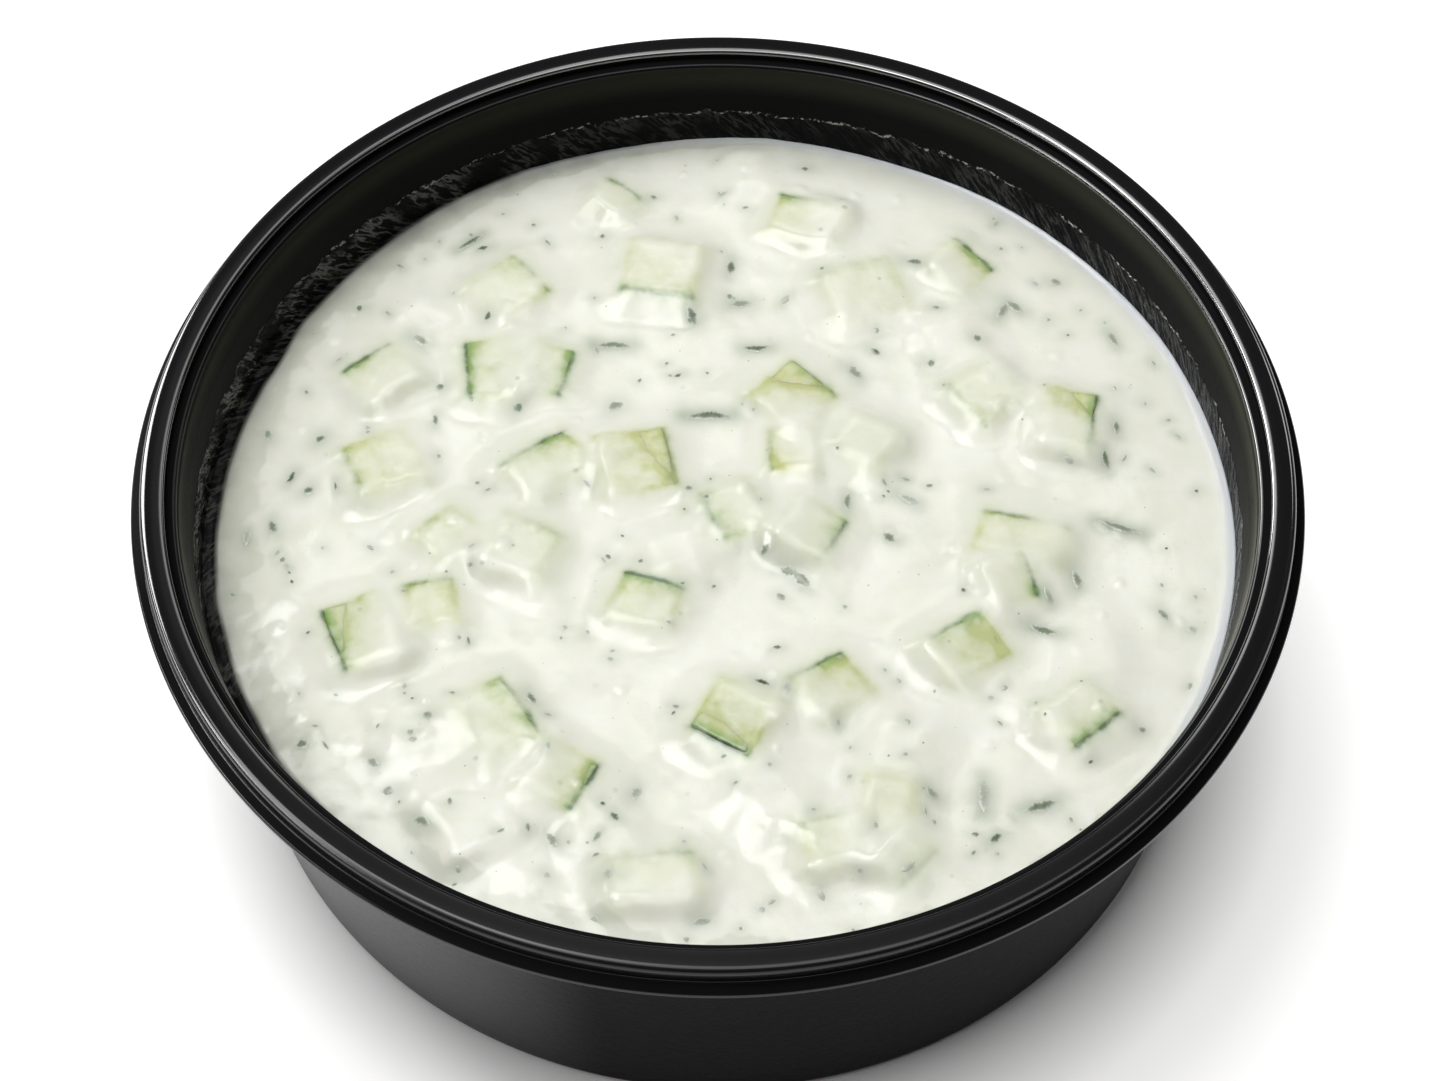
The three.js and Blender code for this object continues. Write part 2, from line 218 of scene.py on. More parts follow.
tub = dict(
    segments=288,
    height=40, baseRadius=50.5, baseFillet=2, cornerFillet=1.2, floor=1.1, wall=1.1,
    flangeRadius=58.5, flangeDrop=3, flangeThickness=0.8,
    bandRadius=57.4, bandFoot=1.85, bandRounding=0.7, band=1.1,
    skirt=0.85, skirtBevel=0.7,
    mouthRadius=54.9, mouthRounding=0.4,
    seatRadius=54, seatDepth=1.2, seatRise=0.01, seatLip=0.3,
    shoulderRadius=53.2, shoulderDepth=5, shoulderBulge=3.6,
    edgeBreak=0.15,
    softEdge=0.17,  # rounding of the small edges
    black=(0.0035, 0.0035, 0.0038), softBlack=(0.00525, 0.00525, 0.0057),
    # shoulder: painted reflection of the dip's light under the seat
    # smear and drop: dip left on the wall, lightened to paint its sheen and glints
    shoulder=(0.024, 0.025, 0.019), smearSheen=(0.045, 0.047, 0.040), drop=(0.26, 0.27, 0.25),
    gloss=0.07, wornGloss=0.22, wornGlossLeft=0.25, satin=(0.33, 0.47),
    # strength of the reflections, part by part
    lipShine=0.9, lipCoat=1.0, seatShine=0.2,
    bandShine=0.25, bandLeftShine=0.07,
    flangeShine=0.9, flangeTopShine=0.004, ledgeWorn=0.65,
    innerShine=0.04, innerTopShine=0.01, outerShine=0.015, outerLeftShine=0.5,
    wornFront=0.93, wornLeft=0.6, wornFlangeFront=0.6, wornFlangeLeft=0.15,
    # the strip just over the dip that was wetted, and the beaded line along its top; smears and beads are
    # lightened to paint their sheen and glints
    wetTop=32.6, wetFade=0.2, wetRagged=2.6, wetSmoothing=0.28, wetShine=0.6,
    wetLine=(0.4, 0.24), dropSize=0.6, dropEdge=(0.45, 0.6), gapSize=5, gapEdge=(0.4, 0.56), smearSheenRight=0.3,
    # moulding crackle: cells per metre, and width of a line as a share of a cell
    crackle=520.0, crackleWidth=0.16, crackleDepth=0.02, crackleStrength=0.35, streakDepth=0.6,
    # regions of the material: what is measured, and where the region fades in
    zones=dict(
        rim=("height", 34.5, 36.5), outside=("upright", 50, 50.4), inside=("upright", 50, 49.7),
        mouth=("radius", 55.5, 55.3), mouthFoot=("height", 37.4, 37.8), lipFoot=("height", 39.4, 39.5),
        seat=("radius", 54.3, 54.1), seatFoot=("height", 38.3, 38.5), innerTop=("height", 34.2, 36.5),
        bandInner=("radius", 55.15, 55.3), bandOuter=("radius", 56.9, 56.7), bandTop=("height", 39.5, 39.8),
        ledge=("radius", 57.4, 57.6), flangeEdge=("radius", 58.4, 58.3),
        shoulderFoot=("height", 34.5, 37.5), shoulderTop=("height", 38.6, 38.2),
    ),
    # sides of the tub: axis, and where the side fades in as a share of the radius
    sides=dict(front=("Y", -0.45, -0.8), left=("X", -0.2, -0.8), right=("X", 0.1, 0.7)),
)
wallTaper = (tub["shoulderRadius"] + tub["wall"] - tub["baseRadius"]) / (tub["height"] - tub["shoulderDepth"])


def innerRadius(z):
    return tub["baseRadius"] - tub["wall"] + wallTaper * z


def curveTo(profile, control, end, steps=8):
    start = profile[-1]
    for k in range(1, steps + 1):
        t = k / steps
        shares = (((1 - t) ** 2, start), (2 * t * (1 - t), control), (t * t, end))
        profile.append(tuple(sum(share * spot[axis] for share, spot in shares) for axis in (0, 1)))


def softened(profile, radius, sharp=24, share=0.4):
    # rounds each corner sharper than an angle, with a support point at both ends of the arc
    done = [profile[0]]
    for before, corner, after in zip(profile, profile[1:], profile[2:]):
        p, c, n = Vector(before), Vector(corner), Vector(after)
        back, ahead = p - c, n - c
        if back.angle(-ahead) < math.radians(sharp):
            done.append(corner)
            continue
        reach = min(radius, back.length * share, ahead.length * share)
        start, end = c + back.normalized() * reach, c + ahead.normalized() * reach
        if back.length > 4 * reach:
            done.append(tuple(start + back.normalized() * reach * 0.5))
        done.append(tuple(start))
        curveTo(done, corner, tuple(end), 4)
        if ahead.length > 4 * reach:
            done.append(tuple(end + ahead.normalized() * reach * 0.5))
    done.append(profile[-1])
    return done


def tubProfile():
    t = tub
    top, base = t["height"], t["baseRadius"]
    ceiling = top - t["band"]
    flangeFoot = top - t["flangeDrop"]
    flangeTop = flangeFoot + t["flangeThickness"]
    seatTop = top - t["seatDepth"]
    shoulderFoot = top - t["shoulderDepth"]
    skirtRadius = t["bandRadius"] - t["skirt"]
    edge, mouth, band = t["edgeBreak"], t["mouthRadius"], t["bandRadius"]
    flange, seat, shoulder = t["flangeRadius"], t["seatRadius"], t["shoulderRadius"]
    profile = [(0, 0), (base - t["baseFillet"], 0)]
    curveTo(profile, (base - edge, 0), (base, t["baseFillet"]))
    profile += [(shoulder + t["wall"], shoulderFoot), (mouth + edge, ceiling), (skirtRadius, ceiling)]
    profile += [(skirtRadius, flangeFoot + t["skirtBevel"]), (band, flangeFoot), (flange - edge, flangeFoot)]
    profile += [(flange, flangeFoot + edge), (flange, flangeTop - edge), (flange - edge, flangeTop)]
    profile += [(band, top - t["bandFoot"]), (band, top - t["bandRounding"])]
    curveTo(profile, (band, top), (band - t["bandRounding"], top))
    profile.append((mouth + t["mouthRounding"], top))
    curveTo(profile, (mouth, top), (mouth, top - t["mouthRounding"]))
    profile += [(mouth, seatTop + t["seatRise"]), (seat, seatTop), (seat - edge, seatTop - t["seatLip"])]
    curveTo(profile, (seat - t["seatLip"], top - t["shoulderBulge"]), (shoulder, shoulderFoot))
    corner = t["floor"] + t["cornerFillet"]
    profile.append((innerRadius(corner), corner))
    floorRadius = innerRadius(t["floor"])
    curveTo(profile, (floorRadius, t["floor"]), (floorRadius - t["cornerFillet"], t["floor"]))
    profile.append((0, t["floor"]))
    return softened(profile, t["softEdge"])


def revolve(profile, segments):
    points, faces, rings = [], [], []
    for radius, z in profile:
        if radius < 1e-6:
            rings.append([len(points)])
            points.append((0, 0, z))
            continue
        rings.append(list(range(len(points), len(points) + segments)))
        for k in range(segments):
            points.append((*onCircle(radius, 2 * math.pi * k / segments), z))
    for lower, upper in zip(rings, rings[1:]):
        for k in range(segments):
            n = (k + 1) % segments
            if len(lower) == 1:
                faces.append((lower[0], upper[n], upper[k]))
            elif len(upper) == 1:
                faces.append((lower[k], lower[n], upper[0]))
            else:
                faces.append((lower[k], lower[n], upper[n], upper[k]))
    return points, faces


def tubMaterial():
    material, tree, shader = newMaterial("tubPlastic", IOR=1.49, Coat_IOR=1.8, Coat_Roughness=0.04)
    t = tub
    axes, radius = polar(tree)
    height = axes["Z"]
    upright = calc(tree, "SUBTRACT", radius, times(tree, height, wallTaper))
    measures = {"radius": radius, "height": height, "upright": upright}

    def zone(*names):
        # 1 inside all of the named regions
        parts = []
        for name in names:
            measure, low, high = t["zones"][name]
            parts.append(rangeOf(tree, measures[measure], low * mm, high * mm))
        return times(tree, *parts)

    def side(name):
        axis, low, high = t["sides"][name]
        return rangeOf(tree, calc(tree, "DIVIDE", axes[axis], radius), low, high)

    frontward, leftward, rightward = side("front"), side("left"), side("right")

    def unworn(front, left):
        # what is left of the polish, as hands rub the front and the left most
        return less(tree, calc(tree, "MAXIMUM", times(tree, frontward, front), times(tree, leftward, left)))

    # regions: the rim is polished, the walls are satin
    rim, outside, ledge = zone("rim"), zone("outside"), zone("ledge")
    mouth = zone("mouth", "mouthFoot")
    lip = times(tree, mouth, zone("lipFoot"))
    seat = times(tree, mouth, zone("seat", "seatFoot"))
    band = zone("bandInner", "bandOuter", "bandTop")
    flangeTop = times(tree, ledge, zone("flangeEdge"))
    # wetted strip on the inside, just over the dip, with a ragged top
    ragged = jitter(tree, t["wetRagged"] * mm, 2.2, 4, 0.65)
    underTop = calc(tree, "ADD", calc(tree, "SUBTRACT", t["wetTop"] * mm, height), ragged)
    strip = times(tree, zone("inside"), rangeOf(tree, underTop, 0.0, t["wetFade"] * mm))
    line = times(tree, strip, rangeOf(tree, underTop, *(edge * mm for edge in t["wetLine"])))
    # pale beads of dip along the top line, their colour a painted glint
    beadGlints = times(tree, line, rangeOf(tree, cloud(tree, t["dropSize"], 2), *t["dropEdge"]))
    beadGlints = times(tree, beadGlints, rangeOf(tree, cloud(tree, t["gapSize"], 1), *t["gapEdge"]))
    # smears of thin dip, fainter on the right, their colour a painted sheen
    streaks, feathers = smears(tree)
    smearSheenShare = times(tree, strip, feathers, ramp(tree, leftward, t["smearSheenRight"], 1.0))
    wetted = calc(tree, "MAXIMUM", beadGlints, smearSheenShare)
    # finish
    grain = cloud(tree, 0.35, 3, 0.6)
    satin = ramp(tree, grain, *t["satin"])
    worn = calc(tree, "MAXIMUM", frontward, times(tree, leftward, t["wornGlossLeft"]))
    polished = ramp(tree, worn, t["gloss"], t["wornGloss"])
    rough = calc(tree, "ADD", times(tree, rim, polished), times(tree, less(tree, rim), satin))
    rough = calc(tree, "SUBTRACT", rough, times(tree, strip, t["wetSmoothing"]), clamp=True)
    rough = calc(tree, "MAXIMUM", rough, t["gloss"])
    # strength of the reflections
    lipPolish = unworn(t["wornFront"], t["wornLeft"])
    flangePolish = unworn(t["wornFlangeFront"], t["wornFlangeLeft"])
    inner = ramp(tree, zone("innerTop"), t["innerShine"], t["innerTopShine"])
    outer = ramp(tree, leftward, t["outerShine"], t["outerLeftShine"])
    seatShine = ramp(tree, rightward, t["seatShine"], t["lipShine"])
    shine = calc(tree, "ADD", times(tree, inner, less(tree, outside)), times(tree, outer, outside))
    shine = calc(tree, "MAXIMUM", shine, times(tree, outside, rim, flangePolish, t["flangeShine"]))
    shine = times(tree, shine, less(tree, mouth))
    shine = calc(tree, "MAXIMUM", shine, times(tree, seat, lipPolish, seatShine))
    shine = calc(tree, "MAXIMUM", shine, times(tree, lip, lipPolish, t["lipShine"]))
    bandDull = ramp(tree, leftward, 1 - t["bandShine"], 1 - t["bandLeftShine"])
    shine = times(tree, shine, less(tree, times(tree, band, bandDull)))
    shine = times(tree, shine, less(tree, flangeTop, 1 - t["flangeTopShine"]))
    shine = times(tree, shine, less(tree, times(tree, ledge, frontward), t["ledgeWorn"]))
    shine = calc(tree, "MAXIMUM", shine, times(tree, wetted, t["wetShine"]))
    coat = times(tree, lip, lipPolish, t["lipCoat"])
    # colour, with a painted reflection of the dip's light on the shoulder under the seat
    plain = blend(tree, cloud(tree, 14, 2), t["black"], t["softBlack"])
    shoulder = times(tree, less(tree, outside), zone("shoulderFoot", "shoulderTop"))
    plain = blend(tree, shoulder, plain, t["shoulder"])
    # smears and beads lightened with painted sheen and glints
    color = blend(tree, beadGlints, blend(tree, smearSheenShare, plain, t["smearSheen"]), t["drop"])
    # crackle of the moulding on the walls, drawn-out ripples in the strip
    inputs = {"Vector": place(tree), "Scale": t["crackle"]}
    cells = put(tree, "ShaderNodeTexVoronoi", inputs, feature="DISTANCE_TO_EDGE")
    crackle = rangeOf(tree, cells.outputs["Distance"], 0.0, t["crackleWidth"])
    relief = times(tree, calc(tree, "ADD", crackle, grain), less(tree, rim), less(tree, strip))
    normal = bump(tree, relief, t["crackleDepth"], t["crackleStrength"])
    normal = bump(tree, times(tree, streaks, strip), t["streakDepth"], onto=normal)
    connect(tree, shader, Base_Color=color, Roughness=rough, Normal=normal)
    connect(tree, shader, Specular_IOR_Level=shine, Coat_Weight=coat)
    return material


points, faces = revolve(tubProfile(), tub["segments"])
tubPiece = finishPiece(meshPiece("tub_moulding", points, faces), tubMaterial(), ["tub"])
print("tub:", len(faces), "faces")


# dice: x, y, turn of the skin side, width along the skin, depth, rise over the dip, tilt, lean
dice = [
    (-23.8, 18.4, 187, 7.4, 5.2, 1.1, 8, 0),
    (-17.9, 18.4, -15, 5.4, 4.2, 1.0, 6, -4),
    (-35.5, 17.9, 129, 5.6, 5.4, 0.8, 6, 0),
    (-22.4, 29.4, 41, 6.2, 6.0, 1.0, 6, 0),
    (-11.4, 42.6, 50, 4.0, 3.6, 0.6, 8, 0),
    (-6.0, 31.9, 260, 7.4, 7.0, 1.2, 4, 0),
    (9.8, 39.0, 70, 7.4, 5.0, 0.9, 6, -3),
    (15.6, 29.3, 110, 7.4, 6.2, 0.9, 5, 0),
    (7.9, 14.9, 45, 6.4, 6.4, 1.3, 7, -7),
    (26.0, 32.4, 45, 5.0, 5.0, 0.9, 6, -6),
    (28.2, 15.3, 216, 5.4, 5.8, 1.0, 5, 0),
    (36.5, 11.6, -13, 7.2, 5.0, 1.4, 6, -7),
    (-34.6, 6.1, 204, 6.5, 6.2, 1.1, 6, 0),
    (-27.3, -2.9, 135, 5.0, 5.0, 1.0, 4, 0),
    (-28.6, -11.0, 100, 4.4, 4.8, 1.0, 6, 0),
    (-35.6, -14.7, 202, 7.6, 5.6, 1.3, 8, 0),
    (-17.6, 6.0, 128, 7.4, 5.0, 1.1, 8, 0),
    (-8.4, 6.3, 11, 7.0, 7.0, 1.5, 5, -4),
    (1.6, 0.1, 205, 5.4, 4.8, 1.0, 8, 0),
    (-7.2, -10.8, 71, 6.0, 5.0, 1.0, 8, -3),
    (7.6, 7.6, 180, 4.4, 4.2, 1.0, 6, 0),
    (-19.9, -4.6, 65, 6.0, 6.0, 1.0, 4, 0),
    (9.6, -2.2, -30, 5.2, 5.2, 1.0, 4, 0),
    (11.2, -20.8, 125, 5.8, 5.2, 1.0, 9, 0),
    (24.6, -16.6, 123, 6.6, 5.2, 1.3, 8, 4),
    (30.8, -3.2, 76, 8.4, 4.4, 1.0, 5, -4),
    (29.5, -8.5, 14, 4.4, 4.2, 1.0, 8, 0),
    (-21.6, -24.8, 32, 7.4, 5.4, 1.3, 5, 0),
    (-14.9, -31.3, -29, 5.4, 5.0, 1.2, 6, 0),
    (1.6, -24.8, 239, 6.4, 6.4, 1.7, 5, 0),
    (10.9, -38.5, 100, 4.8, 4.8, 0.9, 5, -5),
    (16.4, -34.2, 80, 4.2, 5.0, 0.9, 3, 0),
    (-6.1, -42.4, 96, 7.6, 4.4, 0.9, 6, 0),
    (35.4, -24.4, -50, 5.6, 5.0, 1.4, 5, 0),
    (17.8, -40.3, -45, 4.0, 3.4, 0.8, 5, 0),
    (15.2, 8.8, 60, 4.8, 4.8, 0.9, 4, 0),
]

# for each die: the coat of dip over its middle, how much the coat gains to one side, which way,
# how dark the rind is and how yellow the flesh is
looks = [
    (0.15, 0.42, 0, 1, 0.2), (0.2, 0.51, 170, 1, 0.1), (0.63, 0.77, -50, 0.9, 0.4),
    (0.4, 0.34, -135, 0.4, 0.5), (0.3, 0.51, -130, 1, 0), (0.4, 0.34, 60, 1, 0.7),
    (0.53, 0.51, -30, 0.8, 0.8), (0.3, 0.26, 200, 0.4, 0.5), (-0.07, 0.94, -95, 0.5, 0.7),
    (0.3, 0.68, 190, 0.8, 0.7), (0.63, 0.34, 60, 0.4, 0.4), (0.3, 0.85, 215, 0.9, 0.6),
    (0.15, 0.17, -45, 0.4, 0.9), (0.4, 0.26, -60, 0.1, 0.2), (-0.07, 0.34, -90, 0.5, 0.8),
    (0.1, 0.94, -5, 0.9, 0.4), (0.22, 0.51, -110, 0.9, 0.4), (-0.02, 0.59, 190, 0.3, 0.7),
    (0.35, 0.51, 60, 1, 0), (-0.1, 0.34, -90, 1, 0.4), (0.15, 0.59, 0, 0.3, 1),
    (0.63, 0.51, 200, 0.3, 0.3), (0.68, 0.77, 180, 1, 0.1), (0.15, 0.59, -110, 0.8, 0.7),
    (0.06, 0.51, 200, 0.8, 0.5), (0.3, 0.34, -20, 0.6, 0.8), (0.63, 0.85, 180, 1, 0.4),
    (0.18, 0.26, -130, 0.7, 0.1), (0.3, 0.85, 170, 0.9, 0.5), (-0.02, 0.59, 45, 1, 0.5),
    (0.58, 0.34, -30, 0.8, 0.6), (0.35, 0.17, 90, 0, 1), (0.63, 0.59, -90, 0.9, 0.6),
    (0.4, 0.59, 135, 1, 0.1), (0.63, 0.68, 135, 0.9, 0.4), (0.78, 0.17, 90, 0.1, 0.6),
]
die = dict(height=5, bow=0.12, knifeError=0.5, cells=9, bevel=0.42, bevelSteps=3, rough=0.05, roughSize=1.2)

# lumps under an unbroken coat: x, y, turn, width, depth, rise
coatedLumps = [
    (-4.4, -4.6, 20, 4.4, 4.4, 0.9),
    (-28.9, -25.4, 0, 4.4, 6.0, 1.0),
    (-23.7, -35.2, 30, 7.4, 7.0, 1.1),
    (-10.8, -37.4, 50, 3.6, 4.0, 0.8),
    (37.3, -17.6, 15, 4.2, 4.0, 0.7),
    (5.0, -33.4, 40, 5.0, 4.4, 0.9),
    (18.2, -27.0, 70, 4.6, 4.2, 0.8),
    (24.6, 22.8, 25, 5.0, 4.6, 0.8),
    (3.4, 46.6, 10, 4.6, 3.0, 0.5),
    (-31.4, 26.0, 50, 4.6, 3.8, 0.6),
]

# dill: x, y, length, direction
dill = [
    (1.4, 33, 2, -100), (2.4, 28, 2.4, 10), (-2.8, 25.8, 2.2, -70), (7.2, 28.6, 1.4, 55),
    (-11.1, 22.3, 4, 0), (4, 21.7, 3, 0), (14.4, 18.6, 2.2, -55), (21.2, 33, 2, -25),
    (30.5, 27, 2.4, 65), (36.4, 31.4, 1.2, -10), (42, 23.4, 2.2, -70), (-47, 11, 1.6, -70),
    (-44, 5, 1.8, 65), (-48, -2.4, 2, -85), (-45.4, -1.2, 1.8, -75), (-29.5, 12.2, 1.4, -85),
    (-0.9, 12.8, 5, 0), (-10.8, 14.3, 1.8, 30), (13.2, 1.7, 2.4, -95), (8.4, -7.8, 2.2, -45),
    (7.1, -6.8, 1.8, -20), (41, -1.4, 4.6, -20), (40, 6.8, 2.2, -80), (44.6, -12, 1.6, -55),
    (36.2, -7.8, 2.2, -80), (33.1, -10.2, 2, -65), (32.5, -14, 3, -20), (17.4, -2.8, 1.6, -50),
    (19.5, 2, 2.2, -25), (4.4, -20.6, 1.8, -30), (-40.5, -27, 1.4, 20), (-33.4, -29.4, 1.4, -35),
    (-15.8, -38, 1.8, -55), (20.6, -33, 1.6, -45), (25.6, -33, 3.8, -90), (31, -34.2, 3.6, 20),
    (-1.5, -46.6, 1.8, 15), (-27, 36.8, 3.6, 40), (-31.6, 22.6, 2, -35), (26.5, -37.7, 1.6, 40),
    (1.2, 28.9, 0.9, -47), (-12.9, 21.5, 0.9, -67), (9.6, 47.5, 0.9, 0), (31.7, 27.7, 2.3, -45),
    (-42.1, 3.2, 1.2, 30), (-41.4, 10, 1.1, 58), (6.3, -9.8, 1.1, -51), (4.7, -4.5, 1.1, 55),
    (41.5, 11.1, 1.6, -94), (47.3, -13.8, 1, 10), (6.8, -21.5, 1.4, -91), (-31.8, -32.5, 1, 0),
    (-28.3, -36.1, 1.8, -26), (18, -41.5, 1.7, 38), (-18.3, -22.4, 1.6, -59), (-28.3, -24.6, 0.9, 20),
    (-29.9, -26.5, 0.6, 0), (-25.7, -34.2, 0.5, 0), (-7.9, -32.7, 1.5, 61), (41.4, -25.7, 0.8, 0),
    (-11.5, -38.1, 1.4, 62), (-10.3, -42.2, 0.9, 0), (-9.9, -35.8, 1.3, -58), (-38.5, 27.7, 0.8, 0),
    (-25.6, 35.9, 1.5, 17), (-29.2, 16.3, 0.9, 40), (-24.5, 25.6, 1.1, 63), (-20.9, 13.5, 1.1, 44),
    (-12.6, 37.3, 0.6, 0), (-7.1, 42.9, 0.8, 0), (-3, 3, 0.9, 0), (27.5, 22.6, 0.9, 0),
    (22.5, 19.4, 0.8, 0), (16.7, 21.4, 1.2, -33),
]


def placement(x, y, turn, rise, tilt=0, lean=0):
    # local frame of a die: +Y out of its skin, +Z up, origin in the middle of its top
    spin = Matrix.Rotation(math.radians(turn - 90), 3, "Z")
    tip = Matrix.Rotation(math.radians(tilt), 3, "X")
    roll = Matrix.Rotation(-math.radians(lean), 3, "Y")
    return np.array(spin @ tip @ roll), np.array((x, y, dip["level"] + rise))


dip = dict(
    level=29.1, dome=0.4, domeWidth=4, step=0.3, intoWall=0.12,
    foot=0.9, footGap=0.6, sideSegments=144,
    swellCount=70, swellSpan=48, swellWidths=(2.2, 4.2), swellHeights=(0.1, 0.35),
    roll=dict(height=0.2, lengthX=5.3, lengthY=6.1, startX=0.8, startY=-0.4),
    wallClimb=0.75, wallClimbWidth=0.8,
    blend=4.0, rounding=2.4, spread=1.5, warp=0.55, warpSize=3.2, reach=9, dropSteps=30,
    ripple=0.065, rippleSize=2.6, patch=0.018, patchSize=1.1,
    beadCount=130, beadWidths=(0.5, 1.1), beadHeights=(0.04, 0.26),
    edgeDrop=1.3, edgeDropWidth=4, edgeDropToward=125,  # one side has sunk along the wall
    white=(0.885, 0.888, 0.80), shade=(0.84, 0.85, 0.745), veil=(0.72, 0.74, 0.66),
    rough=(0.13, 0.25), shine=0.5, bareShine=0.05, grainDepth=0.06,
    # where little dip lies over a die
    thinTint=(0.62, 0.67, 0.40), thinDepth=0.9, thinShare=0.46,
    fadeDepth=0.30,  # thickness of dip that hides two thirds of what is under it
    coatPatches=((2.4, 1.1), (1.1, 0.3)), coatLess=0.75,  # size and depth of thicker patches of the coat
    herbTint=(0.36, 0.43, 0.30), herbShare=0.75,
    # herb dust, on top and sunk: spacing, least and greatest radius and share of the cells, colour
    dust=(
        (1.7, 0.055, 0.105, 0.5, (0.20, 0.24, 0.16)),
        (2.9, 0.03, 0.19, 0.40, (0.45, 0.50, 0.42)),
    ),
    # painted shade of the wall along one side, over a thin film of dip on it
    wallShade=(0.16, 0.165, 0.14), wallShadeWidths=(0.6, 2.9), wallShadeToward=160, wallShadeShare=0.9,
    wallShadeFar=0.15, wallShadeUneven=0.9,
    # painted bluish sheen where the dip climbs the wall on one side
    meniscusSheenTint=(0.80, 0.83, 0.855), meniscusSheenWidth=0.8, meniscusSheenToward=25,
    # a greyer band along the wall on one side, with a ragged edge
    wallBandTint=(0.63, 0.655, 0.55), wallBandShare=0.55, wallBandWidth=5.5, wallBandToward=205,
    wallBandEdge=(0.78, 0.98), wallBandRagged=1.7, wallBandRaggedSize=4.5,
    # so thin at the wall on one side that the tub shows through
    blackWidth=1.5, blackToward=187, blackRagged=0.3, blackRaggedSize=6, blackInset=0.3, blackFade=0.5,
    noFilm=9, noSkin=4, noWallBandReach=-2,  # where no die and no film is near
)


def lumpOf(row, coat, rounding, spread=0.0, veil=0.0, toward=0.0):
    x, y, turn, width, depth, rise, tilt, lean = (*row, 0, 0)[:8]
    axes, origin = placement(x, y, turn, rise, tilt, lean)
    half = np.array((width / 2 + spread, depth / 2 + spread, die["height"] / 2 + coat)) - rounding
    half = np.maximum(half, 0.05)
    way = math.radians(toward - turn + 90)
    reach = (width + depth) / 4
    slope = np.array(onCircle(1, way)) * veil / reach
    return dict(x=x, y=y, axes=axes, origin=origin, half=half, rounding=rounding, slope=slope, reach=reach)


lumps = []
for row, look in zip(dice, looks):
    lumps.append(lumpOf(row, look[0], dip["rounding"], dip["spread"], look[1], look[2]))
lumps += [lumpOf(row, 0, dip["rounding"], dip["spread"]) for row in coatedLumps]
blocks = [lumpOf(row, 0, 0.0) for row in dice]

swells = []
for i in range(dip["swellCount"]):
    radius = dip["swellSpan"] * math.sqrt((i + 0.5) / dip["swellCount"])
    angle = i * math.pi * (3 - math.sqrt(5))
    width = between(*dip["swellWidths"], scatter(i, 5))
    height = between(*dip["swellHeights"], scatter(i, 6))
    swells.append((*onCircle(radius, angle), width, height))

beads = []
for i in range(dip["beadCount"]):
    radius = dip["swellSpan"] * math.sqrt(scatter(i, 11))
    angle = 2 * math.pi * scatter(i, 12)
    width = between(*dip["beadWidths"], scatter(i, 13))
    height = between(*dip["beadHeights"], scatter(i, 14) ** 2)
    beads.append((*onCircle(radius, angle), width, height))


def blockDistance(block, x, y, z, bow=0.0):
    # distance to a rounded block, and the places in its own frame
    local = (np.stack([x, y, z], 1) - block["origin"]) @ block["axes"]
    local[:, 2] += die["height"] / 2
    flat = np.clip(local[:, :2], -block["reach"], block["reach"])
    local[:, 2] -= flat @ block["slope"]
    if bow:
        across = np.clip(local[:, 0] / block["half"][0], -1, 1)
        local[:, 1] += np.where(local[:, 1] > 0, bow * across ** 2, 0)
    outside = np.abs(local) - block["half"]
    inner = np.minimum(outside.max(1), 0)
    return np.linalg.norm(np.maximum(outside, 0), axis=1) + inner - block["rounding"], local


def facing(x, y, toward):
    # 1 on the side of the tub that is toward a direction in degrees, 0 on the far side
    angle = np.arctan2(y, x) - math.radians(toward)
    return np.clip(0.5 + 0.6 * np.cos(angle), 0, 1)


def calmHeights(x, y):
    roll = dip["roll"]
    toWall = innerRadius(dip["level"]) - np.hypot(x, y)
    inward = np.maximum(toWall, 0)
    z = dip["level"] + dip["dome"] * (1 - np.exp(-inward / dip["domeWidth"]))
    z = z - dip["edgeDrop"] * facing(x, y, dip["edgeDropToward"]) * np.exp(-inward / dip["edgeDropWidth"])
    wave = np.sin(x / roll["lengthX"] + roll["startX"]) * np.sin(y / roll["lengthY"] + roll["startY"])
    z = z + roll["height"] * wave
    for sx, sy, width, height in swells:
        z = z + height * np.exp(-((x - sx) ** 2 + (y - sy) ** 2) / width ** 2)
    return z + dip["wallClimb"] * np.exp(-inward / dip["wallClimbWidth"])


def softMin(a, b, blend):
    overlap = np.maximum(blend - np.abs(a - b), 0) / blend
    return np.minimum(a, b) - overlap ** 3 * blend / 6


def surfaceHeights(x, y):
    # drops each point onto the swells and the lumps
    calm = calmHeights(x, y)
    z = calm + dip["reach"]
    flat = flatPoints(x, y)
    x = x + dip["warp"] * wavy(flat, dip["warpSize"], 3)
    y = y + dip["warp"] * wavy(flat, dip["warpSize"], 4)
    near = [(lump, np.nonzero(np.hypot(x - lump["x"], y - lump["y"]) < dip["reach"])[0]) for lump in lumps]
    for _ in range(dip["dropSteps"]):
        drop = z - calm
        for lump, spots in near:
            distance = blockDistance(lump, x[spots], y[spots], z[spots])[0]
            drop[spots] = softMin(drop[spots], distance, dip["blend"])
        z = z - drop
    return z


def rippled(x, y, z):
    # ripples, patches and beads on top of the main form
    flat = flatPoints(x, y)
    z = z + dip["ripple"] * wavy(flat, dip["rippleSize"], 1)
    z = z + dip["patch"] * wavy(flat, dip["patchSize"], 2)
    for bx, by, width, height in beads:
        share = np.maximum(1 - ((x - bx) ** 2 + (y - by) ** 2) / width ** 2, 0)
        z = z + height * share ** 1.5
    return z


def ringPoints(edge, step):
    count = round(edge / step)
    x, y, rings, total = [0.0], [0.0], [[0]], 1
    for k in range(1, count + 1):
        radius, number = edge * k / count, 6 * k
        for j in range(number):
            px, py = onCircle(radius, 2 * math.pi * j / number)
            x.append(px)
            y.append(py)
        rings.append(list(range(total, total + number)))
        total += number
    return np.array(x), np.array(y), rings


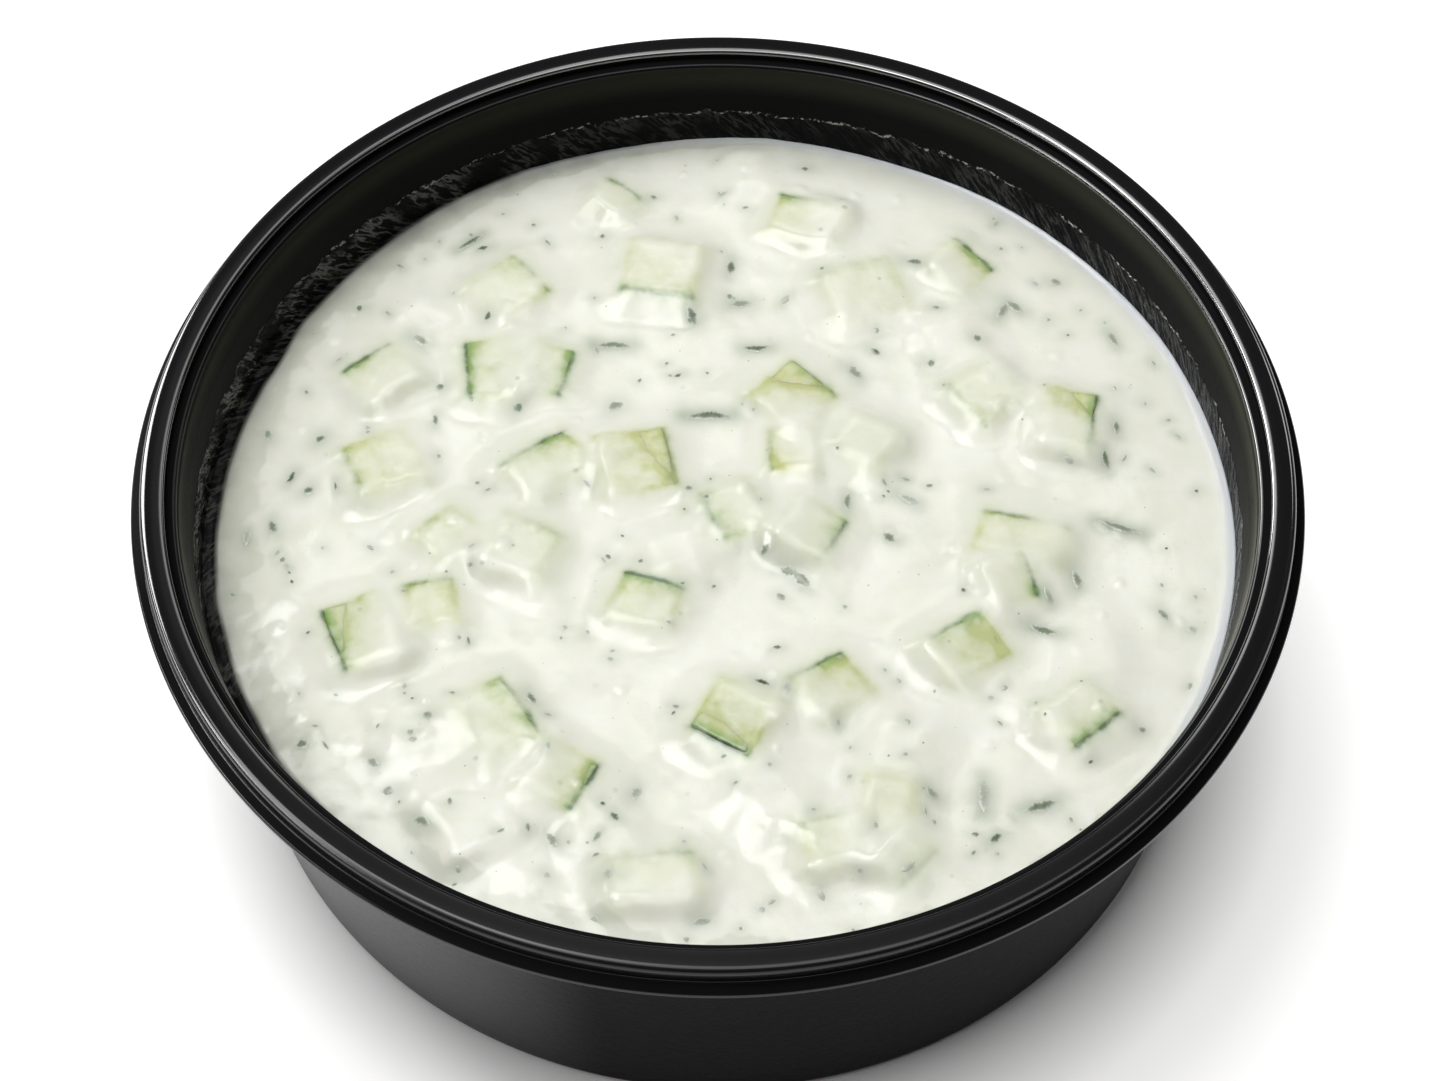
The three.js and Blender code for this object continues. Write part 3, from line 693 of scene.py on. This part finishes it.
def stitch(faces, inner, outer):
    # triangles between two closed rings of points
    i = j = 0
    ins, outs = len(inner), len(outer)
    innerEdges, outerEdges = (ins if ins > 1 else 0), (outs if outs > 1 else 0)
    while i < innerEdges or j < outerEdges:
        a, b = inner[i % ins], outer[j % outs]
        if i == innerEdges or (j < outerEdges and (j + 0.5) * ins <= (i + 0.5) * outs):
            faces.append((a, b, outer[(j + 1) % outs]))
            j += 1
        else:
            faces.append((a, b, inner[(i + 1) % ins]))
            i += 1


def buriedTints(x, y, z):
    # thickness of dip over the nearest die, depth from its skin, its rind and its tone
    film, skin = np.full(len(x), float(dip["noFilm"])), np.full(len(x), float(dip["noSkin"]))
    rind, tone = np.zeros(len(x)), np.zeros(len(x))
    for look, block in zip(looks, blocks):
        spots = np.nonzero(np.hypot(x - block["x"], y - block["y"]) < dip["reach"])[0]
        distance, local = blockDistance(block, x[spots], y[spots], z[spots], die["bow"])
        closer = distance < film[spots]
        chosen = spots[closer]
        film[chosen] = distance[closer]
        skin[chosen] = block["half"][1] - local[closer, 1]
        rind[chosen] = look[3]
        tone[chosen] = look[4]
    return film, skin, rind, tone


fleck = dict(
    width=0.95, widthSpread=(0.7, 1.3), spacing=0.16, leastSteps=6, across=4,
    lift=0.03, tuck=0.03, ridge=0.1,
    curl=0.8, tip=0.03, bluntness=0.6, outline=(0.78, 1.15), wander=0.12,
    strengths=(0.35, 1.0), strengthCurve=0.6, smallStrengthCurve=2.2, paleCurve=1.5,
    smallCount=220, smallLengths=(0.3, 1.1), smallSpan=51, smallWidth=0.55, smallWidthSpread=(0.6, 1.2),
    clearOfDie=0.55,  # share of a die's size that the small ones keep from its middle
    # shade of herb round a fleck: fixed share and more for each millimetre of length or width
    shade=(0.25, 0.12), shadeWidth=(0.45, 0.85), shadeReach=2,
    green=(0.05, 0.082, 0.026), grey=(0.21, 0.27, 0.15), rough=(0.12, 0.3), coatUneven=0.8,
    vein=(0.12, 0.17, 0.09), veinShare=0.4, veinDepth=0.04,
)


def herbShade(x, y):
    shade = np.zeros(len(x))
    base, perLength = fleck["shade"]
    narrow, perWidth = fleck["shadeWidth"]
    for fx, fy, length, direction, width in flecks:
        along = onCircle(1, math.radians(direction))
        dx, dy = x - fx, y - fy
        close = np.nonzero(np.hypot(dx, dy) < length + fleck["shadeReach"])[0]
        t = np.clip(dx[close] * along[0] + dy[close] * along[1], -length / 2, length / 2)
        away = np.hypot(dx[close] - t * along[0], dy[close] - t * along[1])
        halo = (base + perLength * length) * np.exp(-(away / (narrow + perWidth * width)) ** 2)
        shade[close] = np.maximum(shade[close], halo)
    return np.minimum(shade, 1)


flecks = []
for i, row in enumerate(dill):
    flecks.append((*row, fleck["width"] * between(*fleck["widthSpread"], scatter(i, 21))))
for i in range(fleck["smallCount"]):
    radius = fleck["smallSpan"] * math.sqrt(scatter(i, 31))
    angle = 2 * math.pi * scatter(i, 32)
    length = between(*fleck["smallLengths"], scatter(i, 33) ** 2)
    width = fleck["smallWidth"] * between(*fleck["smallWidthSpread"], scatter(i, 35))
    row = (*onCircle(radius, angle), length, 360 * scatter(i, 34), width)
    if all(math.dist(row[:2], d[:2]) > fleck["clearOfDie"] * max(d[3], d[4]) for d in dice):
        flecks.append(row)


def dipMesh():
    edge = innerRadius(dip["level"]) + dip["intoWall"]
    x, y, rings = ringPoints(edge, dip["step"])
    z = rippled(x, y, surfaceHeights(x, y))
    film, skin, rind, tone = buriedTints(x, y, z)
    toWall = np.maximum(innerRadius(dip["level"]) - np.hypot(x, y), 0)
    # painted shade along the wall, deepest on one side
    dark = facing(x, y, dip["wallShadeToward"])
    wallShadeFringe = np.exp(-toWall / between(*dip["wallShadeWidths"], dark)) * between(dip["wallShadeFar"], 1, dark)
    ragged = 1 + dip["blackRagged"] * wavy(flatPoints(x, y), dip["blackRaggedSize"], 8)
    thin = dip["blackWidth"] * facing(x, y, dip["blackToward"]) ** 4 * ragged
    bare = np.clip(1 + (thin - toWall - dip["blackInset"]) / dip["blackFade"], 0, 1) * (thin > 0.1)
    # painted bluish sheen where the dip climbs the wall on one side
    meniscusSheen = np.exp(-(toWall / dip["meniscusSheenWidth"]) ** 2) * facing(x, y, dip["meniscusSheenToward"]) ** 2
    # reach of the greyer band along the wall on one side
    wallBandReach = 1 - toWall / (dip["wallBandWidth"] * facing(x, y, dip["wallBandToward"]) + 0.01)
    points = list(zip(x, y, z))
    top = len(points)
    faces = []
    for inner, outer in zip(rings, rings[1:]):
        stitch(faces, inner, outer)
    # side and bottom, just inside the tub's wall and floor
    count, foot = dip["sideSegments"], innerRadius(dip["foot"]) - dip["footGap"]
    for k in range(count):
        points.append((*onCircle(foot, 2 * math.pi * k / count), dip["foot"]))
    points.append((0, 0, dip["foot"]))
    side = list(range(top, top + count))
    stitch(faces, rings[-1], side)
    stitch(faces, side, [top + count])
    # each tint, with its value on the hidden side and bottom
    tints = {
        "film": (film, dip["noFilm"]), "skin": (skin, dip["noSkin"]), "rind": (rind, 0), "tone": (tone, 0),
        "herb": (herbShade(x, y), 0), "wallShadeFringe": (wallShadeFringe, 0), "bareWall": (bare, 0), "meniscusSheen": (meniscusSheen, 0),
        "wallBandReach": (np.maximum(wallBandReach, dip["noWallBandReach"]), dip["noWallBandReach"]),
    }
    attributes = {}
    for name, (values, hidden) in tints.items():
        attributes[name] = np.append(values, np.full(count + 1, float(hidden)))
    return points, faces, attributes, z


cucumber = dict(
    skin=(0.018, 0.075, 0.008), underSkin=(0.16, 0.32, 0.03),
    greenFlesh=(0.46, 0.55, 0.26), yellowFlesh=(0.57, 0.58, 0.18),
    sunkSkin=(0.20, 0.34, 0.24),
    skinFade=(0.26, 0.12), greenFade=(0.1, 1.6), fadeUneven=0.25,  # depths from the outside of the skin
    skinGaps=(0.36, 0.56), skinLeast=0.25,
    rough=(0.12, 0.28), grainDepth=0.06,
    milk=0.22,  # share of dip that stays on a bare face
)


def fleshColor(tree):
    # dark rind, a green band under it, then pale flesh
    skin, rind, tone = attribute(tree, "skin"), attribute(tree, "rind"), attribute(tree, "tone")
    c = cucumber
    depth = calc(tree, "ADD", skin, jitter(tree, c["fadeUneven"], 0.9, 3, 0.6))
    flesh = blend(tree, tone, c["greenFlesh"], c["yellowFlesh"])
    green = times(tree, less(tree, rangeOf(tree, depth, *c["greenFade"])), rind)
    under = blend(tree, green, flesh, c["underSkin"])
    broken = rangeOf(tree, cloud(tree, 1.8, 2), *c["skinGaps"], c["skinLeast"], 1.0)
    dark = times(tree, rangeOf(tree, depth, *c["skinFade"]), broken, rind)
    return blend(tree, dark, under, c["skin"]), depth, rind


def dipMaterial():
    material, tree, shader = newMaterial(
        "yogurtDip", IOR=1.42,
        Subsurface_Weight=0.6, Subsurface_Radius=(1.0, 0.95, 0.8), Subsurface_Scale=0.0018)
    d = dip
    mottle = cloud(tree, 7, 4, 0.55)
    base = blend(tree, rangeOf(tree, mottle, *noiseCore), d["shade"], d["white"])
    for size, least, greatest, share, color in d["dust"]:
        cells = put(tree, "ShaderNodeTexVoronoi", {"Vector": place(tree), "Scale": 1 / (size * mm)})
        pick = put(tree, "ShaderNodeSeparateColor", {"Color": cells.outputs["Color"]}).outputs
        chosen = calc(tree, "GREATER_THAN", pick["Red"], 1 - share)
        reach = ramp(tree, pick["Green"], least, greatest)
        spot = rangeOf(tree, calc(tree, "DIVIDE", cells.outputs["Distance"], reach), 1.0, 0.2)
        base = blend(tree, times(tree, spot, chosen, pick["Blue"]), base, color)
    base = blend(tree, times(tree, attribute(tree, "herb"), d["herbShare"]), base, d["herbTint"])
    # cucumber showing through the thin coat
    patches = [times(tree, cloud(tree, size, 2), depth) for size, depth in d["coatPatches"]]
    patchy = calc(tree, "ADD", attribute(tree, "film"), calc(tree, "ADD", *patches))
    thick = calc(tree, "MAXIMUM", calc(tree, "SUBTRACT", patchy, d["coatLess"]), 0.0)
    through = calc(tree, "EXPONENT", calc(tree, "DIVIDE", thick, -d["fadeDepth"]))
    wide = calc(tree, "EXPONENT", calc(tree, "DIVIDE", thick, -d["thinDepth"]))
    base = blend(tree, times(tree, wide, d["thinShare"]), base, d["thinTint"])
    flesh, depth, rind = fleshColor(tree)
    beside = times(tree, rangeOf(tree, depth, 0.0, -0.5), rind)
    flesh = blend(tree, beside, flesh, cucumber["sunkSkin"])
    base = blend(tree, times(tree, through, 1 - cucumber["milk"]), base, flesh)
    # painted shade along the wall, deepest on one side, where a thin greyish film also climbs the wall
    wallShadeFringe = attribute(tree, "wallShadeFringe")
    uneven = jitter(tree, times(tree, wallShadeFringe, d["wallShadeUneven"]), 3)
    shadeNearWall = calc(tree, "ADD", wallShadeFringe, uneven, clamp=True)
    # a greyer, greener band along the wall on one side, with a ragged edge
    ragged = times(tree, cloud(tree, d["wallBandRaggedSize"], 2), d["wallBandRagged"])
    raggedReach = calc(tree, "ADD", attribute(tree, "wallBandReach"), ragged)
    banded = rangeOf(tree, raggedReach, *d["wallBandEdge"], 0.0, d["wallBandShare"])
    base = blend(tree, banded, base, d["wallBandTint"])
    base = blend(tree, times(tree, shadeNearWall, d["wallShadeShare"]), base, d["wallShade"])
    # painted bluish sheen on the dip's climb up the wall, on one side
    base = blend(tree, attribute(tree, "meniscusSheen"), base, d["meniscusSheenTint"])
    # the tub, where the dip is thinnest
    bare = attribute(tree, "bareWall")
    # the tub with its smears, lightened to paint their sheen
    wall = blend(tree, smears(tree)[1], tub["black"], tub["smearSheen"])
    base = blend(tree, bare, base, wall)
    shine = rangeOf(tree, bare, 0.0, 1.0, d["shine"], d["bareShine"])
    rough = rangeOf(tree, cloud(tree, 3.5, 3), *noiseSpan, *d["rough"])
    grainy = calc(tree, "ADD", cloud(tree, 1.3, 2), times(tree, cloud(tree, 0.35, 2), 0.25))
    normal = bump(tree, grainy, d["grainDepth"], 0.5)
    connect(tree, shader, Base_Color=base, Roughness=rough, Specular_IOR_Level=shine, Normal=normal)
    return material


points, faces, attributes, heights = dipMesh()
finishPiece(meshPiece("dip_surface", points, faces, attributes), dipMaterial(), ["dip"])
surface = BVHTree.FromPolygons([tuple(p) for p in points], faces)
print("dip:", len(faces), "faces, top", round(float(heights.max()), 2), "mm")


def cucumberMaterial():
    material, tree, shader = newMaterial(
        "cucumberFlesh", IOR=1.38,
        Subsurface_Weight=0.5, Subsurface_Radius=(0.9, 1.0, 0.5), Subsurface_Scale=0.0015)
    milk = cucumber["milk"]
    milky = rangeOf(tree, cloud(tree, 1.6, 3), *noiseCore, 0.4 * milk, 1.6 * milk)
    color = blend(tree, milky, fleshColor(tree)[0], dip["white"])
    rough = rangeOf(tree, cloud(tree, 0.8, 3), *noiseSpan, *cucumber["rough"])
    normal = bump(tree, cloud(tree, 0.5, 4, 0.6), cucumber["grainDepth"], 0.6)
    connect(tree, shader, Base_Color=color, Roughness=rough, Normal=normal)
    return material


def dieMesh(row, index):
    # the knife-cut outline, gridded on every face, with the edges just taken off
    placeX, placeY, turn, width, depth, rise, tilt, lean = row
    half, back, front = width / 2, -depth / 2, depth / 2
    cut = [(scatter(index + 1, stream) - 0.5) * die["knifeError"] for stream in (1, 2, 3)]
    bevel = die["bevel"] / (die["height"] / 2)
    bm = bmesh.new()
    bmesh.ops.create_cube(bm, size=2)
    bmesh.ops.bevel(
        bm, geom=bm.edges[:], offset=bevel, segments=die["bevelSteps"], profile=0.6, affect="EDGES")
    longEdges = [edge for edge in bm.edges if edge.calc_length() > 1]
    bmesh.ops.subdivide_edges(bm, edges=longEdges, cuts=die["cells"], use_grid_fill=True)
    bmesh.ops.recalc_face_normals(bm, faces=bm.faces[:])
    unit = np.array([v.co[:] for v in bm.verts])
    faces = [tuple(v.index for v in f.verts) for f in bm.faces]
    bm.free()
    u, v, w = unit[:, 0], unit[:, 1], unit[:, 2]
    left = np.interp(v, (-1, 1), (-half + cut[0], -half))
    right = np.interp(v, (-1, 1), (half + cut[1], half))
    x = left + (right - left) * (u + 1) / 2
    rear = np.interp(u, (-1, 1), (back, back + cut[2]))
    bowed = front - die["bow"] * u ** 2
    y = rear + (bowed - rear) * (v + 1) / 2
    z = (w - 1) / 2 * die["height"]
    local = np.stack([x, y, z], 1)
    onFace = 1 - np.abs(unit) < 0.02
    nudge = die["rough"] * np.stack([wavy(local, die["roughSize"], index + k) for k in (1, 2, 3)], 1)
    local = local - np.abs(nudge) * np.sign(unit) * onFace
    skin = bowed - local[:, 1]
    axes, origin = placement(placeX, placeY, turn, rise, tilt, lean)
    world = local @ axes.T + origin
    _, _, _, rind, tone = looks[index]
    attributes = {"skin": skin, "rind": np.full(len(x), rind), "tone": np.full(len(x), tone)}
    return world, faces, attributes


fleshMaterial = cucumberMaterial()
for index, row in enumerate(dice):
    name = f"cucumber_{index + 1:02d}"
    world, faces, attributes = dieMesh(row, index)
    finishPiece(meshPiece("die_" + name[-2:], world, faces, attributes), fleshMaterial, [name])
print("cucumber:", len(dice), "dice of", len(faces), "faces")


def heightAt(x, y):
    spot = surface.ray_cast(Vector((x, y, 60)), Vector((0, 0, -1)))[0]
    return spot.z if spot else dip["level"]


def fleckPatch(index, x, y, length, direction, width):
    # a curled, uneven strip of leaf that lies on the dip, its edges tucked under the surface
    f = fleck
    count, half = max(f["leastSteps"], round(length / f["spacing"])), f["across"]
    curl = (scatter(index, 41) - 0.5) * f["curl"] * length
    ridge = f["ridge"] * scatter(index, 43) ** 2
    cos, sin = onCircle(1, math.radians(direction))
    world, bare, faces = [], [], []
    for k in range(count + 1):
        t = k / count
        fat = math.sin(math.pi * min(max(t, f["tip"]), 1 - f["tip"])) ** f["bluntness"]
        reach = width / 2 * fat * between(*f["outline"], scatter(index * 7 + k, 44))
        shift = f["wander"] * width * (scatter(index * 5 + k, 47) - 0.5)
        for j in range(-half, half + 1):
            side = j / half
            u, v = (t - 0.5) * length, curl * (t - 0.5) ** 2 + shift + side * reach
            px, py = x + u * cos - v * sin, y + u * sin + v * cos
            inner = (1 - side * side) * fat
            rise = between(-f["tuck"], f["lift"], min(1, 2 * inner)) + ridge * inner
            world.append((px, py, heightAt(px, py) + rise))
            bare.append(inner)
    row = 2 * half + 1
    for k in range(count):
        for j in range(row - 1):
            a = k * row + j
            faces.append((a, a + row, a + row + 1, a + 1))
    return world, faces, bare


def dillMaterial():
    material, tree, shader = newMaterial("dillLeaf", IOR=1.42, Subsurface_Weight=0.2, Subsurface_Scale=0.0008)
    vein = cloud(tree, 0.4, 3, 0.6)
    leaf = blend(tree, attribute(tree, "pale"), fleck["green"], fleck["grey"])
    leaf = blend(tree, times(tree, vein, fleck["veinShare"]), leaf, fleck["vein"])
    # dip lies over the edges and over parts of the middle
    patchy = calc(tree, "ADD", attribute(tree, "bare"), jitter(tree, fleck["coatUneven"], 0.6, 3, 0.6))
    share = times(tree, rangeOf(tree, patchy, 0.05, 1.0), attribute(tree, "strength"))
    color = blend(tree, share, dip["veil"], leaf)
    rough = rangeOf(tree, vein, *noiseSpan, *fleck["rough"])
    normal = bump(tree, vein, fleck["veinDepth"], 0.5)
    connect(tree, shader, Base_Color=color, Roughness=rough, Normal=normal)
    return material


points, faces, attributes = [], [], {"bare": [], "pale": [], "strength": []}
for index, row in enumerate(flecks):
    world, own, bare = fleckPatch(index, *row)
    faces += [tuple(len(points) + k for k in face) for face in own]
    points += world
    curve = fleck["strengthCurve"] if index < len(dill) else fleck["smallStrengthCurve"]
    attributes["bare"] += bare
    attributes["pale"] += [scatter(index, 45) ** fleck["paleCurve"]] * len(world)
    attributes["strength"] += [between(*fleck["strengths"], scatter(index, 48) ** curve)] * len(world)
finishPiece(meshPiece("dill_flecks", points, faces, attributes), dillMaterial())
print("dill:", len(flecks), "flecks,", len(faces), "faces")


stage = dict(
    floorHalf=1500, floor=(0.93, 0.925, 0.92), floorUneven=0.985, floorGlow=0.5,
    # painted contact shadow: the floor's glow fades out near the tub's foot
    paintedShadow=(48, 60), paintedShadowMiddle=(2.5, -1), paintedShadowCurve=0.7,  # the glow starts outside the tub's foot
    world=0.08,
    aim=30,  # height that the lights point at
    lights=dict(
        key=dict(azimuth=-58, elevation=70, size=(380, 380), glow=6.6),
        window=dict(azimuth=0, elevation=55, size=(334, 250), glow=2.6, shape="ELLIPSE"),
        spot=dict(azimuth=-14, elevation=54.8, distance=918, size=(190, 230), glow=2.2, shape="ELLIPSE"),
        side=dict(azimuth=-96, elevation=25, size=(900, 80), glow=24, glossOnly=True),
        corner=dict(azimuth=-50, elevation=32, size=(210, 170), glow=6),
        edge=dict(azimuth=-48, elevation=33, size=(330, 500), glow=16, onTub=True),
        left=dict(azimuth=-95, elevation=45, size=(420, 500), glow=7, onTub=True),
        right=dict(azimuth=40, elevation=38, size=(200, 160), glow=5, onTub=True),
        top=dict(azimuth=0, elevation=90, distance=1000, size=(760, 760), glow=3.0),
    ),
)


def floorMaterial():
    material, tree, shader = newMaterial("paleFloor", Roughness=0.9, Specular_IOR_Level=0.1)
    shaded = tuple(stage["floorUneven"] * channel for channel in stage["floor"])
    tone = blend(tree, cloud(tree, 30, 3), shaded, stage["floor"])
    # painted contact shadow round the tub's foot, where the floor's glow is held back
    middle = (stage["paintedShadowMiddle"][0] * mm, stage["paintedShadowMiddle"][1] * mm, 0)
    inputs = {0: place(tree), 1: middle}
    away = put(tree, "ShaderNodeVectorMath", inputs, operation="DISTANCE").outputs["Value"]
    near, far = (radius * mm for radius in stage["paintedShadow"])
    outsidePaintedShadow = calc(tree, "POWER", rangeOf(tree, away, near, far, smooth=False), stage["paintedShadowCurve"])
    glow = times(tree, outsidePaintedShadow, stage["floorGlow"])
    connect(tree, shader, Base_Color=tone, Emission_Color=tone, Emission_Strength=glow)
    return material


half = stage["floorHalf"]
corners = [(-half, -half, 0), (half, -half, 0), (half, half, 0), (-half, half, 0)]
floor = meshPiece("floor", corners, [(0, 1, 2, 3)])
floor.data.materials.append(floorMaterial())

world = bpy.data.worlds.new("studio")
bpy.context.scene.world = world
world.use_nodes = True
background = world.node_tree.nodes["Background"]
background.inputs["Color"].default_value = (1, 1, 1, 1)
background.inputs["Strength"].default_value = stage["world"]

# some lights reach the tub alone, so that the dip has no hard white spots from them
tubOnly = bpy.data.collections.new("tubOnly")
tubOnly.objects.link(tubPiece)


def softbox(name, azimuth, elevation, size, glow,
            distance=900, shape="RECTANGLE", glossOnly=False, onTub=False):
    # azimuth 0 is behind the tub, seen from the camera, and grows to the right
    a, e = math.radians(azimuth), math.radians(elevation)
    away = Vector((math.sin(a) * math.cos(e), math.cos(a) * math.cos(e), math.sin(e)))
    light = bpy.data.lights.new(name, "AREA")
    light.shape = shape
    light.size, light.size_y = size[0] * mm, size[1] * mm
    area = light.size * light.size_y * (math.pi / 4 if shape == "ELLIPSE" else 1)
    light.energy = glow * math.pi * area
    lamp = bpy.data.objects.new(name, light)
    lamp.visible_diffuse = not glossOnly
    if onTub:
        lamp.light_linking.receiver_collection = tubOnly
    lamp.location = away * distance * mm + Vector((0, 0, stage["aim"] * mm))
    lamp.rotation_euler = away.to_track_quat("Z", "Y").to_euler()
    bpy.context.scene.collection.objects.link(lamp)


for name, light in stage["lights"].items():
    softbox(name, **light)

view = dict(lens=80, sensor=36, elevation=55.06, distance=312.6, target=(0.21, -10.34, 40), clip=(0.01, 10))
tilt = math.radians(view["elevation"])
camera = bpy.data.cameras.new("camera")
camera.lens = view["lens"]
camera.sensor_width = view["sensor"]
camera.clip_start, camera.clip_end = view["clip"]
cameraObject = bpy.data.objects.new("camera", camera)
back = Vector((0, -math.cos(tilt), math.sin(tilt))) * view["distance"]
cameraObject.location = (Vector(view["target"]) + back) * mm
cameraObject.rotation_euler = (math.pi / 2 - tilt, 0, 0)
bpy.context.scene.collection.objects.link(cameraObject)
bpy.context.scene.camera = cameraObject
bpy.context.scene.view_settings.view_transform = "Standard"
print("stage:", len(stage["lights"]), "lights and the camera")
